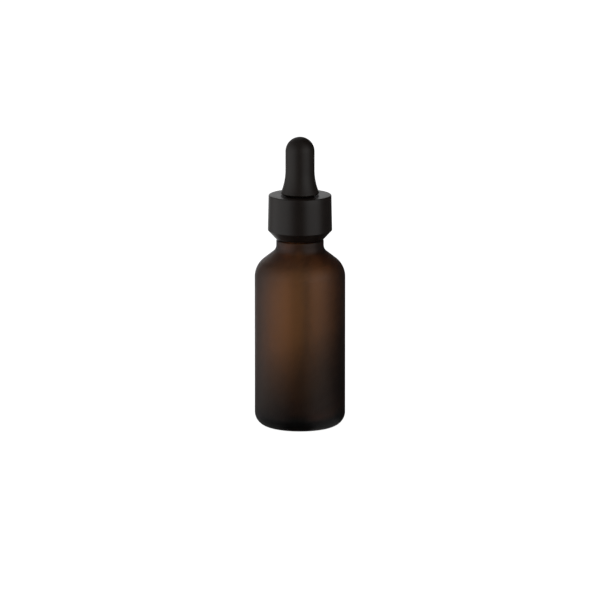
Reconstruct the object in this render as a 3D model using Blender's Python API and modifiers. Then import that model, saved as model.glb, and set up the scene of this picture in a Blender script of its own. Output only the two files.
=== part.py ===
"""Dropper ink bottle: a frosted amber bottle closed by a screw cap, a rubber bulb and a glass pipette.

Frame: metres, +Z up, origin at the centre of the base, on the plane that the bottle stands on.
Every round piece turns about Z.  The bulb is pinched along X.

An outline is a list of (radius, height) points in its piece's own frame.  It runs down the outer
side from top to bottom, and back up the inner side.
"""
import math

import bmesh
import bpy

MM = 0.001

# Clearance between two pieces that touch in the real object, and the radial one between threads.
CLEARANCE = 0.3 * MM
SEGMENTS = 48
WELD_DISTANCE = 0.001 * MM

# Glass bottle, heights from the base.
BODY_RADIUS = 16.5 * MM
HEEL_RADIUS = 5.0 * MM
BEARING_INNER_RADIUS = 8.9 * MM
PUSH_UP = 1.6 * MM
BASE_THICKNESS = 3.8 * MM
WALL = 2.2 * MM
INNER_HEEL_RADIUS = 4.0 * MM
BODY_WALL_TOP = 55.2 * MM
SHOULDER_RADIUS = 8.2 * MM
SHOULDER_SLOPE = 51.7
NECK_RADIUS = 8.65 * MM
NECK_FILLET_RADIUS = 3.2 * MM
NECK_BORE_RADIUS = 5.9 * MM
BEAD_TOP = 69.0 * MM
BEAD_EDGE_RADIUS = 0.6 * MM
FINISH_RADIUS = 7.65 * MM
RIM_HEIGHT = 81.6 * MM
RIM_OUTER_EDGE_RADIUS = 0.65 * MM
RIM_INNER_EDGE_RADIUS = 0.4 * MM

# Screw thread: one round ridge on the neck, and its partner inside the cap.
THREAD_PITCH = 3.175 * MM
THREAD_TURNS = 1.25
THREAD_FADE_TURNS = 0.12
RIDGE_RADIUS = 1.0 * MM
NECK_RIDGE_CREST = 8.25 * MM
NECK_RIDGE_START = 74.3 * MM

# Rubber bulb, heights from the underside of its flange.
FLANGE_RADIUS = 7.4 * MM
FLANGE_THICKNESS = 1.7 * MM
FLANGE_EDGE_RADIUS = 0.4 * MM
COLLAR_RADIUS = 5.0 * MM
BULB_RADIUS = 5.3 * MM
BULB_WALL = 1.35 * MM
BULB_FOOT_RADIUS = 6.95 * MM
BULB_FOOT_EDGE_RADIUS = 0.5 * MM
FLARE_TOP = 12.7 * MM
DOME_HEIGHT = 19.6 * MM
BULB_BORE_TOP = 6.6 * MM

# Windows in the bulb's wall, and the pads that fill them and are pinched inwards.
PAD_HALF_WIDTH = 2.6 * MM
PAD_BOTTOM = 8.0 * MM
PAD_TOP = 18.4 * MM

# Screw cap, heights from its lower lip.
CAP_TOP_PLATE = 1.6 * MM
CAP_HEIGHT = 16.2 * MM
CAP_TOP_RADIUS = 11.45 * MM
CAP_SKIRT_RADIUS = 11.7 * MM
CAP_BEVEL_HEIGHT = 3.2 * MM
CAP_LIP_RADIUS = 8.75 * MM
CAP_LIP_BORE_RADIUS = 8.55 * MM
CAP_LIP_BORE_HEIGHT = 1.7 * MM
CAP_BORE_RADIUS = 9.3 * MM
CAP_TOP_EDGE_RADIUS = 0.4 * MM
CAP_RIDGE_START = 5.6 * MM

# Glass pipette, heights from its tip.
PIPETTE_LENGTH = 76.0 * MM
PIPETTE_RADIUS = 3.3 * MM
PIPETTE_WALL = 1.0 * MM
PIPETTE_TAPER_TOP = 17.0 * MM
PIPETTE_TAPER_BOTTOM = 6.0 * MM
PIPETTE_TIP_RADIUS = 1.5 * MM
PIPETTE_TIP_BORE_RADIUS = 0.6 * MM
PIPETTE_END_EDGE_RADIUS = 0.4 * MM

# How the pieces stack up the bottle's axis.
BULB_Z = RIM_HEIGHT + CLEARANCE
CAP_Z = BULB_Z + FLANGE_THICKNESS + CLEARANCE + CAP_TOP_PLATE - CAP_HEIGHT
BULB_FOOT = CAP_Z + CAP_HEIGHT + CLEARANCE - BULB_Z
PIPETTE_Z = BULB_Z + BULB_BORE_TOP + 0.3 * MM - PIPETTE_LENGTH


def clear_scene():
    """Remove whatever the file holds, so that only this object is in it."""
    for obj in list(bpy.data.objects):
        bpy.data.objects.remove(obj, do_unlink=True)


def new_collection(name):
    """Add a collection to the scene."""
    collection = bpy.data.collections.new(name)
    bpy.context.scene.collection.children.link(collection)
    return collection


def material(name, colour, roughness, transmission=0.0):
    """A Principled material of one colour."""
    result = bpy.data.materials.new(name)
    result.use_nodes = True
    shader = result.node_tree.nodes["Principled BSDF"]
    shader.inputs["Base Color"].default_value = (*colour, 1.0)
    shader.inputs["Roughness"].default_value = roughness
    shader.inputs["Metallic"].default_value = 0.0
    shader.inputs["Transmission Weight"].default_value = transmission
    return result


def arc(centre, radius, start_deg, end_deg, steps):
    """Points along a circular arc of an outline, with both ends."""
    points = []
    for step in range(steps + 1):
        angle = math.radians(start_deg + (end_deg - start_deg) * step / steps)
        points.append((centre[0] + radius * math.cos(angle), centre[1] + radius * math.sin(angle)))
    return points


def turned(name, outline, collection, is_ring=False):
    """Turn an outline about Z.  A ring's outline closes on itself; any other ends on the axis."""
    count = len(outline)
    edges = [(index, index + 1) for index in range(count - 1)]
    if is_ring:
        edges.append((count - 1, 0))
    mesh = bpy.data.meshes.new(name)
    mesh.from_pydata([(radius, 0.0, height) for radius, height in outline], edges, [])
    obj = bpy.data.objects.new(name, mesh)
    collection.objects.link(obj)
    screw = obj.modifiers.new("turn", "SCREW")
    screw.axis = "Z"
    screw.angle = math.tau
    screw.steps = SEGMENTS
    screw.render_steps = SEGMENTS
    screw.use_merge_vertices = True
    screw.merge_threshold = WELD_DISTANCE
    screw.use_smooth_shade = True
    return obj


def hide_cutter(obj):
    """Mark an object as a tool that shapes another one and isn't part of the result."""
    obj.hide_render = True
    obj.display_type = "WIRE"


def thread_ridge(target, crest_radius, outward, start_height, cutters):
    """A right-handed helical ridge that fades into the wall at both ends, parented to its piece."""
    centre_radius = crest_radius - outward * RIDGE_RADIUS
    curve = bpy.data.curves.new(target.name + "_ridge", "CURVE")
    curve.dimensions = "3D"
    curve.bevel_depth = RIDGE_RADIUS
    curve.bevel_resolution = 2
    curve.use_fill_caps = True
    spline = curve.splines.new("POLY")
    steps = round(THREAD_TURNS * SEGMENTS)
    spline.points.add(steps)
    for index, point in enumerate(spline.points):
        turns = index / SEGMENTS
        angle = math.tau * turns
        height = start_height + THREAD_PITCH * turns
        point.co = (centre_radius * math.cos(angle), centre_radius * math.sin(angle), height, 1.0)
        turns_to_end = min(index, steps - index) / SEGMENTS
        point.radius = 0.2 + 0.8 * min(1.0, turns_to_end / THREAD_FADE_TURNS)
    guide = bpy.data.objects.new(curve.name, curve)
    cutters.objects.link(guide)
    ridge = solid_from_curve(guide, cutters)
    ridge.parent = target
    return ridge


def solid_from_curve(guide, cutters):
    """Replace a bevelled curve by a closed mesh, so that it can be joined to a solid."""
    name = guide.name
    evaluated = guide.evaluated_get(bpy.context.evaluated_depsgraph_get())
    mesh = bpy.data.meshes.new_from_object(evaluated)
    welded = bmesh.new()
    welded.from_mesh(mesh)
    bmesh.ops.remove_doubles(welded, verts=welded.verts, dist=WELD_DISTANCE)
    bmesh.ops.recalc_face_normals(welded, faces=welded.faces)
    welded.to_mesh(mesh)
    welded.free()
    solid = bpy.data.objects.new(name + "_solid", mesh)
    solid.matrix_world = guide.matrix_world
    cutters.objects.link(solid)
    bpy.data.objects.remove(guide, do_unlink=True)
    hide_cutter(solid)
    return solid


def box(name, low, high, parent, cutters):
    """A box between two corners of its parent's frame."""
    shape = bmesh.new()
    bmesh.ops.create_cube(shape, size=1.0)
    bmesh.ops.scale(shape, vec=[high[axis] - low[axis] for axis in range(3)], verts=shape.verts)
    mesh = bpy.data.meshes.new(name)
    shape.to_mesh(mesh)
    shape.free()
    obj = bpy.data.objects.new(name, mesh)
    obj.location = [(low[axis] + high[axis]) / 2 for axis in range(3)]
    obj.parent = parent
    cutters.objects.link(obj)
    hide_cutter(obj)
    return obj


def combine(target, other, operation):
    """Join, cut or intersect a piece with another solid."""
    boolean = target.modifiers.new(operation.lower(), "BOOLEAN")
    boolean.operation = operation
    boolean.solver = "EXACT"
    boolean.object = other


def neck_fillet_centre():
    """Centre of the neck's fillet, so high that a straight slope touches it and the shoulder's arc."""
    slope = math.radians(SHOULDER_SLOPE)
    shoulder_end_radius = BODY_RADIUS - SHOULDER_RADIUS * (1 - math.cos(slope))
    shoulder_end_height = BODY_WALL_TOP + SHOULDER_RADIUS * math.sin(slope)
    centre_radius = NECK_RADIUS + NECK_FILLET_RADIUS
    slope_run = shoulder_end_radius - (centre_radius - NECK_FILLET_RADIUS * math.cos(slope))
    slope_end_height = shoulder_end_height + slope_run / math.tan(slope)
    return centre_radius, slope_end_height + NECK_FILLET_RADIUS * math.sin(slope)


def bottle_inside():
    """The bottle's inner outline, from the centre of its floor up to the edge of the mouth."""
    inner_radius = BODY_RADIUS - WALL
    inner_heel_centre = (inner_radius - INNER_HEEL_RADIUS, BASE_THICKNESS + INNER_HEEL_RADIUS)
    shoulder_centre = (BODY_RADIUS - SHOULDER_RADIUS, BODY_WALL_TOP)
    neck_centre = neck_fillet_centre()
    neck_turn = neck_centre[0] - NECK_BORE_RADIUS
    mouth_centre = (NECK_BORE_RADIUS + RIM_INNER_EDGE_RADIUS, RIM_HEIGHT - RIM_INNER_EDGE_RADIUS)
    outline = [(0.0, BASE_THICKNESS)]
    outline += arc(inner_heel_centre, INNER_HEEL_RADIUS, -90, 0, 4)
    outline += arc(shoulder_centre, SHOULDER_RADIUS - WALL, 0, SHOULDER_SLOPE, 4)
    outline += arc(neck_centre, neck_turn, 180 + SHOULDER_SLOPE, 180, 3)
    outline += arc(mouth_centre, RIM_INNER_EDGE_RADIUS, 180, 90, 2)
    return outline


def bottle_outside():
    """The bottle's outer outline, from the outer edge of the rim down to the centre of the push-up."""
    rim_centre = (FINISH_RADIUS - RIM_OUTER_EDGE_RADIUS, RIM_HEIGHT - RIM_OUTER_EDGE_RADIUS)
    bead_centre = (NECK_RADIUS - BEAD_EDGE_RADIUS, BEAD_TOP - BEAD_EDGE_RADIUS)
    neck_centre = neck_fillet_centre()
    shoulder_centre = (BODY_RADIUS - SHOULDER_RADIUS, BODY_WALL_TOP)
    heel_centre = (BODY_RADIUS - HEEL_RADIUS, HEEL_RADIUS)
    dish_radius = (BEARING_INNER_RADIUS**2 + PUSH_UP**2) / (2 * PUSH_UP)
    dish_angle = math.degrees(math.asin(BEARING_INNER_RADIUS / dish_radius))
    outline = arc(rim_centre, RIM_OUTER_EDGE_RADIUS, 90, 0, 3)
    outline += [(FINISH_RADIUS, BEAD_TOP)]
    outline += arc(bead_centre, BEAD_EDGE_RADIUS, 90, 0, 2)
    outline += arc(neck_centre, NECK_FILLET_RADIUS, 180, 180 + SHOULDER_SLOPE, 4)
    outline += arc(shoulder_centre, SHOULDER_RADIUS, SHOULDER_SLOPE, 0, 6)
    outline += arc(heel_centre, HEEL_RADIUS, 0, -90, 6)
    outline += arc((0.0, PUSH_UP - dish_radius), dish_radius, 90 - dish_angle, 90, 3)
    return outline


def make_bottle(parts, cutters):
    """The glass bottle: one body with its shoulder, neck bead, threaded finish and open mouth."""
    bottle = turned("glass_bottle", bottle_inside() + bottle_outside(), parts)
    combine(bottle, thread_ridge(bottle, NECK_RIDGE_CREST, 1, NECK_RIDGE_START, cutters), "UNION")
    bottle.data.materials.append(material("frosted_amber_glass", (0.12, 0.045, 0.015), 0.5, 0.6))
    return bottle


def make_cap(parts, cutters, dropper):
    """The screw cap: a smooth skirt with a bevelled lower edge, and a hole in its top for the bulb."""
    hole_radius = COLLAR_RADIUS + CLEARANCE
    top_edge_centre = (CAP_TOP_RADIUS - CAP_TOP_EDGE_RADIUS, CAP_HEIGHT - CAP_TOP_EDGE_RADIUS)
    bore_taper = CAP_BORE_RADIUS - CAP_LIP_BORE_RADIUS
    outline = [(hole_radius, CAP_HEIGHT)]
    outline += arc(top_edge_centre, CAP_TOP_EDGE_RADIUS, 90, 0, 2)
    outline += [
        (CAP_SKIRT_RADIUS, CAP_BEVEL_HEIGHT),
        (CAP_LIP_RADIUS, 0.0),
        (CAP_LIP_BORE_RADIUS, 0.0),
        (CAP_LIP_BORE_RADIUS, CAP_LIP_BORE_HEIGHT),
        (CAP_BORE_RADIUS, CAP_LIP_BORE_HEIGHT + bore_taper),
        (CAP_BORE_RADIUS, CAP_HEIGHT - CAP_TOP_PLATE),
        (hole_radius, CAP_HEIGHT - CAP_TOP_PLATE),
    ]
    cap = turned("screw_cap", outline, parts, is_ring=True)
    cap.parent = dropper
    cap.location.z = CAP_Z - BULB_Z
    crest_radius = NECK_RIDGE_CREST + CLEARANCE
    combine(cap, thread_ridge(cap, crest_radius, -1, CAP_RIDGE_START, cutters), "UNION")
    cap.data.materials.append(material("matte_black_plastic", (0.02, 0.018, 0.017), 0.45))
    return cap


def bulb_outline():
    """The bulb's wall: dome, barrel, flared foot, collar and flange, and its hollow."""
    foot_edge_centre = (BULB_FOOT_RADIUS - BULB_FOOT_EDGE_RADIUS, BULB_FOOT + BULB_FOOT_EDGE_RADIUS)
    flare_drop = FLARE_TOP - foot_edge_centre[1]
    flare_spread = BULB_FOOT_RADIUS - BULB_RADIUS
    flare_radius = (flare_drop**2 + flare_spread**2) / (2 * flare_spread)
    flare_angle = math.degrees(math.asin(flare_drop / flare_radius))
    flange_edge = FLANGE_RADIUS - FLANGE_EDGE_RADIUS
    hollow_radius = BULB_RADIUS - BULB_WALL
    bore_radius = PIPETTE_RADIUS + CLEARANCE
    outline = arc((0.0, DOME_HEIGHT), BULB_RADIUS, 90, 0, 8)
    outline += arc((BULB_RADIUS + flare_radius, FLARE_TOP), flare_radius, 180, 180 + flare_angle, 5)
    outline += arc(foot_edge_centre, BULB_FOOT_EDGE_RADIUS, 0, -90, 3)[1:]
    outline += [
        (COLLAR_RADIUS, BULB_FOOT),
        (COLLAR_RADIUS, FLANGE_THICKNESS),
        (flange_edge, FLANGE_THICKNESS),
        (FLANGE_RADIUS, FLANGE_THICKNESS - FLANGE_EDGE_RADIUS),
        (FLANGE_RADIUS, FLANGE_EDGE_RADIUS),
        (flange_edge, 0.0),
        (bore_radius, 0.0),
        (bore_radius, BULB_BORE_TOP),
        (hollow_radius, BULB_BORE_TOP + hollow_radius - bore_radius),
    ]
    outline += arc((0.0, DOME_HEIGHT), hollow_radius, 0, 90, 6)
    return outline


def make_bulb(parts, cutters, dropper):
    """The rubber bulb, with a window on each side for the pad that is pinched."""
    bulb = turned("rubber_bulb", bulb_outline(), parts)
    bulb.parent = dropper
    window_half_width = PAD_HALF_WIDTH + CLEARANCE
    window_bottom = PAD_BOTTOM - CLEARANCE
    window_top = PAD_TOP + CLEARANCE
    low = (-2 * BULB_RADIUS, -window_half_width, window_bottom)
    high = (2 * BULB_RADIUS, window_half_width, window_top)
    combine(bulb, box("bulb_windows", low, high, bulb, cutters), "DIFFERENCE")
    bulb.data.materials.append(material("black_rubber", (0.025, 0.023, 0.022), 0.6))
    return bulb


def make_grip(side_name, side, parts, cutters, squeeze_axis, rubber):
    """One pad of the bulb's own wall, on the side that the sign of X gives."""
    grip = turned("bulb_grip_" + side_name, bulb_outline(), parts)
    grip.parent = squeeze_axis
    grip.location.z = -(PAD_BOTTOM + PAD_TOP) / 2
    near = 0.5 * MM * side
    far = 2 * BULB_RADIUS * side
    low = (min(near, far), -PAD_HALF_WIDTH, PAD_BOTTOM)
    high = (max(near, far), PAD_HALF_WIDTH, PAD_TOP)
    combine(grip, box(grip.name + "_limits", low, high, grip, cutters), "INTERSECT")
    grip.data.materials.append(rubber)
    return grip


def make_pipette(parts, dropper):
    """The pipette: an open glass tube that tapers to a fine tip."""
    bore_radius = PIPETTE_RADIUS - PIPETTE_WALL
    edge = PIPETTE_END_EDGE_RADIUS
    outline = [(bore_radius + edge, PIPETTE_LENGTH)]
    outline += arc((PIPETTE_RADIUS - edge, PIPETTE_LENGTH - edge), edge, 90, 0, 2)
    outline += [
        (PIPETTE_RADIUS, PIPETTE_TAPER_TOP),
        (PIPETTE_TIP_RADIUS, PIPETTE_TAPER_BOTTOM),
    ]
    outline += arc((PIPETTE_TIP_RADIUS - edge, edge), edge, 0, -90, 2)
    outline += [
        (PIPETTE_TIP_BORE_RADIUS, 0.0),
        (PIPETTE_TIP_BORE_RADIUS, PIPETTE_TAPER_BOTTOM),
        (bore_radius, PIPETTE_TAPER_TOP),
        (bore_radius, PIPETTE_LENGTH - edge),
    ]
    pipette = turned("glass_pipette", outline, parts, is_ring=True)
    pipette.parent = dropper
    pipette.location.z = PIPETTE_Z - BULB_Z
    pipette.data.materials.append(material("clear_glass", (0.85, 0.88, 0.88), 0.05, 0.9))
    return pipette


def axis_empty(name, height, parts, parent=None):
    """An empty on the bottle's axis, at a height in its parent's frame."""
    empty = bpy.data.objects.new(name, None)
    empty.location.z = height
    empty.parent = parent
    parts.objects.link(empty)
    return empty


def main():
    """Build the bottle and its dropper closure."""
    clear_scene()
    parts = new_collection("ink_bottle")
    cutters = new_collection("cutters")
    make_bottle(parts, cutters)
    dropper = axis_empty("dropper_axis", BULB_Z, parts)
    squeeze_axis = axis_empty("squeeze_axis", (PAD_BOTTOM + PAD_TOP) / 2, parts, dropper)
    make_cap(parts, cutters, dropper)
    bulb = make_bulb(parts, cutters, dropper)
    rubber = bulb.data.materials[0]
    for side_name, side in (("left", -1), ("right", 1)):
        make_grip(side_name, side, parts, cutters, squeeze_axis, rubber)
    make_pipette(parts, dropper)


main()
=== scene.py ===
"""Looks of the dropper ink bottle: fine meshes, materials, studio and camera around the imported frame."""
import math

import bpy
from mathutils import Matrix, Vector


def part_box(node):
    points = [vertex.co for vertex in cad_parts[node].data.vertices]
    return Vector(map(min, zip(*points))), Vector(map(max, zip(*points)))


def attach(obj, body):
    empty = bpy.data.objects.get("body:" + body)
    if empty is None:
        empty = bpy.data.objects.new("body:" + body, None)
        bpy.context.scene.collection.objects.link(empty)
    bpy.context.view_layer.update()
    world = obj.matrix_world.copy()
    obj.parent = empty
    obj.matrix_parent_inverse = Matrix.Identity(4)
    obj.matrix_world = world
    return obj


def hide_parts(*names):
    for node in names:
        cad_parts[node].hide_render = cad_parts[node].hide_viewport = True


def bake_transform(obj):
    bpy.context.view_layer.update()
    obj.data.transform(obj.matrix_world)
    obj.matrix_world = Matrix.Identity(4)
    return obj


MM = 0.001

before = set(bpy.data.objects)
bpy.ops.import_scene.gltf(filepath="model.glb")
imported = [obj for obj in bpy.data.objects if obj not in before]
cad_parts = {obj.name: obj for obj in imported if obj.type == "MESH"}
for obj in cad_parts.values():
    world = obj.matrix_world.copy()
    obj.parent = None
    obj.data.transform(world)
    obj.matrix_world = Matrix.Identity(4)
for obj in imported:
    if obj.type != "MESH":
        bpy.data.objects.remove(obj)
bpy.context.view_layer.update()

# The frame gives the main sizes: the heights and radii of the pieces, in metres.
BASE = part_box("glass_bottle")[0].z
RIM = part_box("glass_bottle")[1].z
BODY_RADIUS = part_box("glass_bottle")[1].x
CAP_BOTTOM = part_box("screw_cap")[0].z
CAP_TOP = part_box("screw_cap")[1].z
CAP_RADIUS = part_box("screw_cap")[1].x
BULB_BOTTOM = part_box("rubber_bulb")[0].z
BULB_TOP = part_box("rubber_bulb")[1].z
FLANGE_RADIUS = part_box("rubber_bulb")[1].x
PAD_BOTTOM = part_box("bulb_grip_left")[0].z
PAD_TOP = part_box("bulb_grip_left")[1].z
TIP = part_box("glass_pipette")[0].z
PIPETTE_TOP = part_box("glass_pipette")[1].z
PIPETTE_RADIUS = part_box("glass_pipette")[1].x
PINCH_HEIGHT = (PAD_BOTTOM + PAD_TOP) / 2

# Columns of a fully turned surface, and the angle above which its edges shade sharp.
SEGMENTS = 192
SHARP_ANGLE = math.radians(40)

# A vertex this close to the bulb's upright cut is on it.
CUT_TOLERANCE = 1e-7

# The thread of the bottle and the cap: one ridge, right-handed.
THREAD_PITCH = 3.175 * MM
THREAD_TURNS = 1.25
THREAD_HALF_WIDTH = 0.9 * MM
THREAD_FADE_TURNS = 0.12


def arc(centre, radius, start_deg, end_deg, steps):
    """Points along a circular arc of an outline, with both ends."""
    points = []
    for step in range(steps + 1):
        angle = math.radians(start_deg + (end_deg - start_deg) * step / steps)
        points.append((centre[0] + radius * math.cos(angle), centre[1] + radius * math.sin(angle)))
    return points


def line(start, end, steps):
    """Evenly spaced points between two points, with both ends."""
    return [
        (start[0] + (end[0] - start[0]) * step / steps, start[1] + (end[1] - start[1]) * step / steps)
        for step in range(steps + 1)
    ]


def smoothstep(value):
    """0 below 0, 1 above 1, and a smooth rise between."""
    value = min(1.0, max(0.0, value))
    return value * value * (3 - 2 * value)


def thread_height(angle, height, start, depth):
    """How far a round thread ridge stands out of its wall at an angle and a height."""
    highest = 0.0
    for turn in range(math.ceil(THREAD_TURNS) + 1):
        turns = turn + angle / math.tau
        if not 0 <= turns <= THREAD_TURNS:
            continue
        offset = (height - start - THREAD_PITCH * turns) / THREAD_HALF_WIDTH
        if abs(offset) >= 1:
            continue
        ends = smoothstep(turns / THREAD_FADE_TURNS)
        ends *= smoothstep((THREAD_TURNS - turns) / THREAD_FADE_TURNS)
        highest = max(highest, ends * depth * (0.5 + 0.5 * math.cos(math.pi * offset)))
    return highest


def turned(name, outline, is_ring=False, shift=None, start_angle=0.0, sweep=math.tau):
    """A surface turned about Z.  Points on the axis become one vertex.  shift moves points outwards."""
    full = sweep == math.tau
    columns = SEGMENTS if full else SEGMENTS // 2 + 1
    vertices = []
    rows = []
    for radius, height in outline:
        if radius == 0.0:
            rows.append([len(vertices)] * columns)
            vertices.append((0.0, 0.0, height))
            continue
        row = []
        for column in range(columns):
            share = column / columns if full else column / (columns - 1)
            angle = start_angle + sweep * share
            here = radius + (shift(angle, radius, height) if shift else 0.0)
            row.append(len(vertices))
            vertices.append((here * math.cos(angle), here * math.sin(angle), height))
        rows.append(row)
    section = list(rows)
    if is_ring:
        rows.append(rows[0])
    faces = []
    for upper, lower in zip(rows, rows[1:]):
        for column in range(columns if full else columns - 1):
            following = (column + 1) % columns
            corners = [upper[column], lower[column], lower[following], upper[following]]
            faces.append(list(dict.fromkeys(corners)))
    if not full:
        faces.append([row[0] for row in section])
        faces.append([row[-1] for row in reversed(section)])
    mesh = bpy.data.meshes.new(name)
    mesh.from_pydata(vertices, [], faces)
    mesh.update()
    mesh.shade_smooth()
    mesh.set_sharp_from_angle(angle=SHARP_ANGLE)
    obj = bpy.data.objects.new(name, mesh)
    bpy.context.scene.collection.objects.link(obj)
    return obj


# ---------------------------------------------------------------- materials


class Nodes:
    """A short way to build the node tree of a material or a world."""

    def __init__(self, owner):
        owner.use_nodes = True
        self.owner = owner
        self.tree = owner.node_tree
        self.shader = self.tree.nodes.get("Principled BSDF") or self.tree.nodes["Background"]

    def add(self, kind, links=(), **values):
        """Add a node, set its properties, and link its inputs."""
        node = self.tree.nodes.new("ShaderNode" + kind)
        for key, value in values.items():
            setattr(node, key, value)
        for socket, source in dict(links).items():
            self.put(node, socket, source)
        return node

    def put(self, node, socket, source):
        """Link an output to an input, or set the input to a value."""
        if isinstance(source, bpy.types.NodeSocket):
            self.tree.links.new(source, node.inputs[socket])
        else:
            node.inputs[socket].default_value = source

    def set(self, socket, source):
        """Link or set an input of the main shader."""
        self.put(self.shader, socket, source)

    def math(self, operation, first, second):
        """One Math node of two inputs."""
        return self.add("Math", {0: first, 1: second}, operation=operation).outputs[0]

    def place(self):
        """The piece's own coordinates in metres."""
        return self.add("TexCoord").outputs["Object"]

    def noise(self, place, size, detail):
        """Noise with features of about a size in metres."""
        node = self.add("TexNoise", {"Vector": place, "Scale": 1.0 / size, "Detail": detail})
        return node.outputs["Fac"]

    def spread(self, factor, low, high):
        """A factor of 0 to 1 spread between two values."""
        node = self.add("MapRange", {"Value": factor, "To Min": low, "To Max": high})
        return node.outputs["Result"]

    def ease(self, value, start, end, low, high):
        """low below start, high above end, and a smooth change between."""
        inputs = {"Value": value, "From Min": start, "From Max": end, "To Min": low, "To Max": high}
        return self.add("MapRange", inputs, interpolation_type="SMOOTHSTEP").outputs["Result"]

    def colours(self, factor, stops):
        """A colour ramp: a list of (position, colour)."""
        node = self.add("ValToRGB", {"Fac": factor})
        ramp = node.color_ramp
        while len(ramp.elements) < len(stops):
            ramp.elements.new(1.0)
        for element, (position, colour) in zip(ramp.elements, stops):
            element.position = position
            element.color = (*colour, 1.0)
        return node.outputs["Color"]

    def bump(self, height, distance, strength):
        """Raise the surface by a height of 0 to 1 times a distance in metres."""
        node = self.add("Bump", {"Height": height, "Distance": distance, "Strength": strength})
        return node.outputs["Normal"]


def new_nodes(name):
    """The node tree of a new material."""
    return Nodes(bpy.data.materials.new(name))


# How much light the glass lets through, by height in millimetres: painted shade, darker low on the body
# and at the shoulder.  The modelled wall is even, so this isn't its thickness: it was tuned by comparing
# renders with the photograph.
GLASS_PAINTED_SHADE = [
    (0, 1.00),
    (5, 0.60),
    (10, 0.46),
    (20, 0.58),
    (34, 0.95),
    (52, 0.95),
    (57, 0.88),
    (63, 0.66),
    (66, 0.66),
    (70, 0.90),
]
# The painted shade's heights rise to the right and fall to the left by this share of the way, tuned in the
# same way.
PAINTED_SHADE_LEAN = 0.45

# Where a cloud of noise starts to change from its first colour, and where the change is complete.
CLOUD_START = 0.3
CLOUD_END = 0.7


def frosted_amber():
    """Amber glass, coloured all through, with an etched outer skin and with shade painted into its colour
    by height.

    The roughnesses, the density and the IOR were tuned by comparing renders with the photograph too.
    The IOR is a little below real glass.
    """
    inside_roughness = 0.30
    etched_low = 0.43
    etched_high = 0.49
    clean = (0.86, 0.80, 0.72)
    cloudy = (0.92, 0.86, 0.78)
    amber = (0.617, 0.380, 0.085, 1.0)
    amber_density = 760.0

    nodes = new_nodes("frosted_amber")
    place = nodes.place()
    cloud = nodes.noise(place, 6 * MM, 3.0)
    etched = nodes.add("Attribute", attribute_name="etched").outputs["Fac"]
    etched_roughness = nodes.spread(cloud, etched_low, etched_high)
    roughness = nodes.add("Mix", {"Factor": etched, "A": inside_roughness, "B": etched_roughness})
    # Painted shade: the glass colour is darkened by height, from the listed stops, along a slightly tilted
    # height.
    lean = (-PAINTED_SHADE_LEAN, 0.0, 1.0)
    height = nodes.add("VectorMath", {0: place, 1: lean}, operation="DOT_PRODUCT").outputs["Value"]
    share = nodes.math("DIVIDE", height, RIM)
    painted_shade = nodes.colours(share, [(z * MM / RIM, (shade_level, shade_level, shade_level)) for z, shade_level in GLASS_PAINTED_SHADE])
    skin = nodes.colours(cloud, [(CLOUD_START, clean), (CLOUD_END, cloudy)])
    colour = nodes.add("VectorMath", {0: skin, 1: painted_shade}, operation="MULTIPLY")
    nodes.set("Base Color", colour.outputs[0])
    nodes.set("Roughness", roughness.outputs["Result"])
    nodes.set("Transmission Weight", 0.995)
    nodes.set("IOR", 1.46)
    nodes.set("Normal", nodes.bump(nodes.noise(place, 0.12 * MM, 2.0), 0.01 * MM, 0.4))
    depth = nodes.add("VolumeAbsorption", {"Color": amber, "Density": amber_density})
    nodes.put(nodes.tree.nodes["Material Output"], "Volume", depth.outputs["Volume"])
    return nodes.owner


def matte_black(name, cloud_size, dark, light, roughness, grain_size, grain_depth, grain_strength):
    """A matte black surface, faintly cloudy, with a fine grain."""
    nodes = new_nodes(name)
    place = nodes.place()
    grain = nodes.noise(place, grain_size, 3.0)
    cloud = nodes.noise(place, cloud_size, 2.0)
    nodes.set("Base Color", nodes.colours(cloud, [(CLOUD_START, dark), (CLOUD_END, light)]))
    nodes.set("Roughness", nodes.spread(cloud, *roughness))
    nodes.set("Normal", nodes.bump(grain, grain_depth, grain_strength))
    return nodes.owner


def black_plastic():
    """Matte black moulded plastic of the cap."""
    return matte_black(
        "matte_black_plastic",
        cloud_size=5 * MM,
        dark=(0.013, 0.0075, 0.005),
        light=(0.017, 0.010, 0.007),
        roughness=(0.34, 0.40),
        grain_size=0.25 * MM,
        grain_depth=0.01 * MM,
        grain_strength=0.25,
    )


def black_rubber():
    """Matte black rubber of the bulb."""
    return matte_black(
        "black_rubber",
        cloud_size=4 * MM,
        dark=(0.016, 0.010, 0.007),
        light=(0.020, 0.013, 0.009),
        roughness=(0.44, 0.50),
        grain_size=0.3 * MM,
        grain_depth=0.015 * MM,
        grain_strength=0.3,
    )


def clear_glass():
    """Clear glass of the pipette.  Its IOR is below real glass, to keep it faint behind the frosting."""
    nodes = new_nodes("clear_glass")
    nodes.set("Base Color", (0.96, 0.98, 0.97, 1.0))
    nodes.set("Roughness", 0.03)
    nodes.set("Transmission Weight", 1.0)
    nodes.set("IOR", 1.35)
    return nodes.owner


# ---------------------------------------------------------------- pieces


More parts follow.
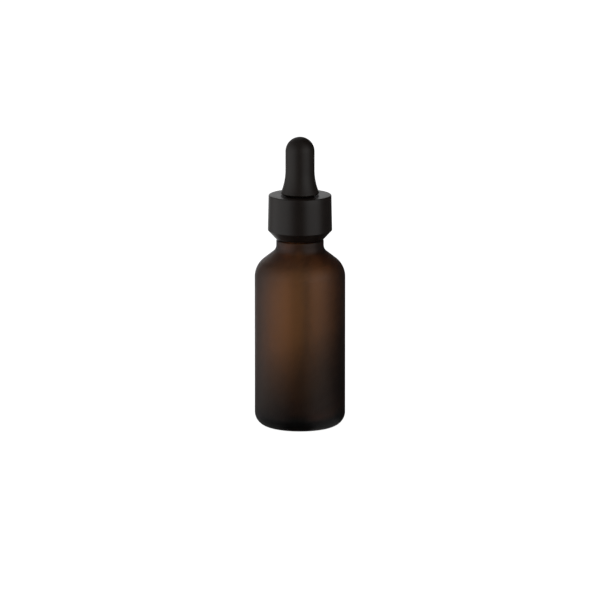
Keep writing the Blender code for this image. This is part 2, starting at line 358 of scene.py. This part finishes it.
def make_bottle():
    """The frosted bottle, with its threaded finish and its wall thickness."""
    wall = 2.2 * MM
    heel = 5.0 * MM
    bearing_inner = 8.9 * MM
    bearing_outer = 9.5 * MM
    push_up = 1.6 * MM
    floor_thickness = 3.8 * MM
    floor_centre = 1.0 * MM
    inner_heel = 4.0 * MM
    slope = 51.7
    wall_top = BASE + 55.2 * MM
    shoulder = 8.2 * MM
    neck_radius = 8.65 * MM
    neck_bottom = BASE + 66.92 * MM
    neck_fillet = 3.2 * MM
    bore = 5.9 * MM
    bead_top = CAP_BOTTOM - 0.3 * MM
    bead_edge = 0.6 * MM
    finish_radius = 7.65 * MM
    root_fillet = 0.3 * MM
    outer_edge = 0.65 * MM
    inner_edge = 0.4 * MM
    thread_start = BASE + 74.3 * MM
    thread_depth = 0.6 * MM

    dish = (bearing_inner**2 + push_up**2) / (2 * push_up)
    dish_angle = math.degrees(math.asin(bearing_inner / dish))
    inner_radius = BODY_RADIUS - wall
    neck_centre = (neck_radius + neck_fillet, neck_bottom)
    shoulder_centre = (BODY_RADIUS - shoulder, wall_top)

    floor_z = BASE + floor_thickness
    floor_radius = inner_radius - inner_heel

    inside = [(0.0, floor_z)]
    inside += line((floor_centre, floor_z), (floor_radius, floor_z), 4)
    inside += arc((floor_radius, floor_z + inner_heel), inner_heel, -90, 0, 12)[1:]
    inside += arc(shoulder_centre, shoulder - wall, 0, slope, 12)
    inside += arc(neck_centre, neck_centre[0] - bore, 180 + slope, 180, 10)
    inside += arc((bore + inner_edge, RIM - inner_edge), inner_edge, 180, 90, 5)

    outside = arc((finish_radius - outer_edge, RIM - outer_edge), outer_edge, 90, 0, 6)
    outside += line((finish_radius, RIM - outer_edge), (finish_radius, bead_top + root_fillet), 90)[1:]
    outside += arc((finish_radius + root_fillet, bead_top + root_fillet), root_fillet, 180, 270, 4)[1:]
    outside += arc((neck_radius - bead_edge, bead_top - bead_edge), bead_edge, 90, 0, 6)
    outside += arc(neck_centre, neck_fillet, 180, 180 + slope, 14)
    outside += arc(shoulder_centre, shoulder, slope, 0, 22)
    outside += line((BODY_RADIUS, wall_top), (BODY_RADIUS, BASE + heel), 8)[1:-1]
    outside += arc((BODY_RADIUS - heel, BASE + heel), heel, 0, -90, 20)
    outside += [(bearing_outer, BASE)]
    outside += arc((0.0, BASE + push_up - dish), dish, 90 - dish_angle, 90, 12)[:-1]
    outside += [(0.0, BASE + push_up)]

    def thread(angle, radius, height):
        """The ridge outside the threaded finish."""
        if radius != finish_radius:
            return 0.0
        return thread_height(angle % math.tau, height, thread_start, thread_depth)

    bottle = turned("bottle", inside + outside, shift=thread)
    bottle.data.materials.append(frosted_amber())
    etched = bottle.data.attributes.new("etched", "FLOAT", "FACE")
    inside_faces = (len(inside) - 1) * SEGMENTS
    for index, share in enumerate(etched.data):
        share.value = 0.0 if index < inside_faces else 1.0
    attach(bottle, "bottle")
    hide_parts("glass_bottle")


def make_cap():
    """The cap: smooth skirt, bevelled lower edge, threaded inside."""
    hole = 5.3 * MM
    hole_edge = 0.2 * MM
    plate = 1.6 * MM
    draft = 0.25 * MM
    top_radius = CAP_RADIUS - draft
    edge = 0.4 * MM
    bevel_top = CAP_BOTTOM + 3.2 * MM
    lip = 8.75 * MM
    lip_bore = 8.55 * MM
    bore = 9.3 * MM
    corner = 0.5 * MM
    lip_bore_top = CAP_BOTTOM + 1.7 * MM
    inner_top = CAP_TOP - plate
    bore_bottom = lip_bore_top + bore - lip_bore
    thread_start = CAP_BOTTOM + 5.6 * MM
    thread_depth = 0.7 * MM

    outline = arc((hole + hole_edge, CAP_TOP - hole_edge), hole_edge, 180, 90, 3)
    outline += arc((top_radius - edge, CAP_TOP - edge), edge, 90, 0, 6)
    outline += line((top_radius, CAP_TOP - edge), (CAP_RADIUS, bevel_top), 6)[1:]
    outline += line((CAP_RADIUS, bevel_top), (lip, CAP_BOTTOM), 4)[1:]
    outline += [(lip_bore, CAP_BOTTOM), (lip_bore, lip_bore_top)]
    outline += line((bore, bore_bottom), (bore, inner_top - corner), 80)
    outline += [(bore - corner, inner_top), (hole, inner_top)]

    def thread(angle, radius, height):
        """The ridge inside the skirt."""
        if radius != bore:
            return 0.0
        return -thread_height(angle % math.tau, height, thread_start, thread_depth)

    cap = turned("cap", outline, is_ring=True, shift=thread)
    cap.data.materials.append(black_plastic())
    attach(cap, "cap")
    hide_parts("screw_cap")


def bulb_outlines():
    """The bulb's outlines above and below the height where it is pinched."""
    wall = 1.35 * MM
    foot = 6.95 * MM
    foot_edge = 0.5 * MM
    foot_z = CAP_TOP + 0.3 * MM
    flare_top = BULB_BOTTOM + 12.7 * MM
    collar = 5.0 * MM
    flange_top = BULB_BOTTOM + 1.7 * MM
    flange_edge = 0.4 * MM
    bore = PIPETTE_RADIUS + 0.3 * MM
    bore_top = BULB_BOTTOM + 6.6 * MM
    barrel = 5.3 * MM
    dome_z = BULB_TOP - barrel
    hollow = barrel - wall
    drop = flare_top - foot_z - foot_edge
    spread = foot - barrel
    flare = (drop**2 + spread**2) / (2 * spread)
    flare_angle = math.degrees(math.asin(drop / flare))

    upper = [(0.0, BULB_TOP)]
    upper += arc((0.0, dome_z), barrel, 90, 0, 28)[1:]
    upper += line((barrel, dome_z), (barrel, PINCH_HEIGHT), 10)[1:]
    upper += line((hollow, PINCH_HEIGHT), (hollow, dome_z), 10)
    upper += arc((0.0, dome_z), hollow, 0, 90, 14)[1:-1]
    upper += [(0.0, dome_z + hollow)]

    lower = line((barrel, PINCH_HEIGHT), (barrel, flare_top), 8)
    lower += arc((barrel + flare, flare_top), flare, 180, 180 + flare_angle, 18)[1:]
    lower += arc((foot - foot_edge, foot_z + foot_edge), foot_edge, 0, -90, 6)[1:]
    lower += [(collar, foot_z), (collar, flange_top)]
    lower += arc((FLANGE_RADIUS - flange_edge, flange_top - flange_edge), flange_edge, 90, 0, 4)
    lower += arc((FLANGE_RADIUS - flange_edge, BULB_BOTTOM + flange_edge), flange_edge, 0, -90, 4)
    lower += [(bore, BULB_BOTTOM), (bore, bore_top)]
    lower += line((hollow, bore_top + hollow - bore), (hollow, PINCH_HEIGHT), 14)
    return upper, lower


def match_seam_normals(part):
    """Turn the normals along the upright cut, so that the two sides shade as one skin."""
    mesh = part.data
    on_cut = [abs(vertex.co.x) < CUT_TOLERANCE for vertex in mesh.vertices]
    normals = [normal.vector.copy() for normal in mesh.corner_normals]
    for polygon in mesh.polygons:
        if all(on_cut[vertex] for vertex in polygon.vertices):
            continue
        for corner in polygon.loop_indices:
            if on_cut[mesh.loops[corner].vertex_index]:
                upright = Vector((0.0, normals[corner].y, normals[corner].z))
                normals[corner] = upright.normalized()
    mesh.normals_split_custom_set(normals)


def make_bulb():
    """The bulb, in four parts that meet without a step, so that each side can be pinched in.

    The four parts are cut at the upright plane x = 0, and at PINCH_HEIGHT, where the top and the foot
    meet.
    """
    upper, lower = bulb_outlines()
    rubber = black_rubber()
    fade = 0.5
    for side, sign, start_angle in (("left", -1, math.pi / 2), ("right", 1, -math.pi / 2)):
        for level, outline, slant in (("top", upper, -fade), ("foot", lower, fade)):
            name = f"bulb_{side}_{level}"
            is_ring = level == "foot"
            part = turned(name, outline, is_ring, start_angle=start_angle, sweep=math.pi)
            part.data.materials.append(rubber)
            for vertex in part.data.vertices:
                if abs(vertex.co.x) < CUT_TOLERANCE:
                    vertex.co.x = 0.0
            match_seam_normals(part)
            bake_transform(part)
            if side == "left":
                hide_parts("rubber_bulb", "bulb_grip_left")
            else:
                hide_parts("rubber_bulb", "bulb_grip_right")


def make_pipette():
    """The clear pipette, drawn out to a fine tip."""
    wall = 1.0 * MM
    taper_top = TIP + 17.0 * MM
    taper_bottom = TIP + 6.0 * MM
    tip_radius = 1.5 * MM
    tip_bore = 0.6 * MM
    edge = 0.4 * MM
    bore_edge = 0.2 * MM
    bore = PIPETTE_RADIUS - wall

    def taper(start_radius, end_radius, steps=14):
        """The smooth change of radius between the stem and the tip."""
        points = []
        for step in range(steps + 1):
            share = smoothstep(step / steps)
            height = taper_top + (taper_bottom - taper_top) * step / steps
            points.append((start_radius + (end_radius - start_radius) * share, height))
        return points

    outline = arc((PIPETTE_RADIUS - edge, PIPETTE_TOP - edge), edge, 90, 0, 5)
    outline += taper(PIPETTE_RADIUS, tip_radius)
    outline += arc((tip_radius - edge, TIP + edge), edge, 0, -90, 5)
    outline += [(tip_bore, TIP)]
    outline += list(reversed(taper(bore, tip_bore)))
    outline += arc((bore + bore_edge, PIPETTE_TOP - bore_edge), bore_edge, 180, 90, 3)
    pipette = turned("pipette", outline, is_ring=True)
    pipette.data.materials.append(clear_glass())
    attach(pipette, "dropper")
    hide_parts("glass_pipette")


# ---------------------------------------------------------------- studio

# Brightness of the studio all round: (azimuth in degrees, brightness).  Azimuth 0 is the camera's side,
# 90 its right and -90 its left.  There is a panel at each side of the camera and a backdrop behind.
# The brightnesses were tuned by comparing renders with the photograph.
LIGHT_ROUND = [
    (-180, 0.76),
    (-167, 0.92),
    (-154, 0.52),
    (-134, 0.10),
    (-104, 0.72),
    (-44, 0.72),
    (-18, 0.05),
    (14, 0.05),
    (27, 0.90),
    (68, 0.93),
    (83, 0.11),
    (110, 0.04),
    (164, 0.03),
    (172, 0.62),
    (180, 0.76),
]
# Light from high up is weaker.  By the height of its direction, a unit vector, it starts to fall at
# DIM_START, and from DIM_END up it is TOP_LIGHT of what it is at the horizon.
DIM_START = 0.25
DIM_END = 0.75
TOP_LIGHT = 0.26
# A dark mat on the floor, centred to the right and towards the camera.  Its middle glows at MAT_LIGHT of
# the rest, and it fades out between the two radii.  The camera doesn't see it.
MAT_LIGHT = 0.2
MAT_CENTRE = (110 * MM, -110 * MM, 0.0)
MAT_INNER = 150 * MM
MAT_OUTER = 300 * MM


def light_round(nodes, direction):
    """Brightness of the studio in a horizontal direction, and the parts of that direction."""
    parts = nodes.add("SeparateXYZ", {0: direction})
    from_camera = nodes.math("MULTIPLY", parts.outputs["Y"], -1.0)
    azimuth = nodes.math("ARCTAN2", parts.outputs["X"], from_camera)
    turn = nodes.math("ADD", nodes.math("DIVIDE", azimuth, math.tau), 0.5)
    stops = [(degrees / 360 + 0.5, (bright, bright, bright)) for degrees, bright in LIGHT_ROUND]
    return nodes.colours(turn, stops), parts


def make_camera():
    """A long lens that looks slightly down at the bottle."""
    elevation = math.radians(11.5)
    distance = 3.0
    frame_width = 218.6 * MM
    aim = Vector((0.0, 0.0, 46.4 * MM))
    camera = bpy.data.objects.new("camera", bpy.data.cameras.new("camera"))
    back = Vector((0.0, -math.cos(elevation), math.sin(elevation)))
    camera.location = aim + back * distance
    camera.rotation_euler = (math.pi / 2 - elevation, 0.0, 0.0)
    camera.data.lens = camera.data.sensor_width * distance / frame_width
    bpy.context.scene.collection.objects.link(camera)
    bpy.context.scene.camera = camera


def make_floor():
    """A floor that the camera sees as plain and pale, and that lights the bottle as the studio does."""
    size = 6.0
    gap = 0.05 * MM
    pale = (0.80, 0.80, 0.80, 1.0)
    dim = (0.1, 0.1, 0.1, 1.0)
    mesh = bpy.data.meshes.new("floor")
    corners = [(-size, -size, 0.0), (size, -size, 0.0), (size, size, 0.0), (-size, size, 0.0)]
    mesh.from_pydata(corners, [], [(0, 1, 2, 3)])
    floor = bpy.data.objects.new("floor", mesh)
    floor.location.z = BASE - gap
    bpy.context.scene.collection.objects.link(floor)

    nodes = new_nodes("pale_floor")
    nodes.set("Base Color", pale)
    nodes.set("Roughness", 0.9)
    nodes.set("Specular IOR Level", 0.0)
    glow = nodes.add("Emission", {"Color": (1.0, 1.0, 1.0, 1.0), "Strength": 0.97})
    seen = nodes.add("AddShader", {0: nodes.shader.outputs[0], 1: glow.outputs[0]})

    place = nodes.place()
    distance = nodes.add("VectorMath", {0: place, 1: MAT_CENTRE}, operation="DISTANCE").outputs["Value"]
    mat = nodes.ease(distance, MAT_INNER, MAT_OUTER, MAT_LIGHT, 1.0)
    around = light_round(nodes, place)[0]
    panel_glow = nodes.add("Emission", {"Strength": nodes.math("MULTIPLY", around, mat)})
    dark = nodes.add("BsdfDiffuse", {"Color": dim})
    unseen = nodes.add("AddShader", {0: dark.outputs[0], 1: panel_glow.outputs[0]})

    is_seen = nodes.add("LightPath").outputs["Is Camera Ray"]
    mix = nodes.add("MixShader", {"Fac": is_seen, 1: unseen.outputs[0], 2: seen.outputs[0]})
    nodes.put(nodes.tree.nodes["Material Output"], "Surface", mix.outputs[0])
    mesh.materials.append(nodes.owner)


def make_world():
    """Soft light all round, from panels and a backdrop.  The camera itself sees plain white."""
    world = bpy.data.worlds.new("studio")
    bpy.context.scene.world = world
    nodes = Nodes(world)
    around, direction = light_round(nodes, nodes.add("TexCoord").outputs["Generated"])
    height = nodes.ease(direction.outputs["Z"], DIM_START, DIM_END, 1.0, TOP_LIGHT)
    is_seen = nodes.add("LightPath").outputs["Is Camera Ray"]
    nodes.set("Color", (1.0, 1.0, 1.0, 1.0))
    nodes.set("Strength", nodes.math("MAXIMUM", nodes.math("MULTIPLY", around, height), is_seen))


def make_studio():
    """Camera, floor and light."""
    bpy.context.scene.view_settings.view_transform = "Standard"
    make_camera()
    make_floor()
    make_world()


make_bottle()
make_cap()
make_bulb()
make_pipette()
make_studio()
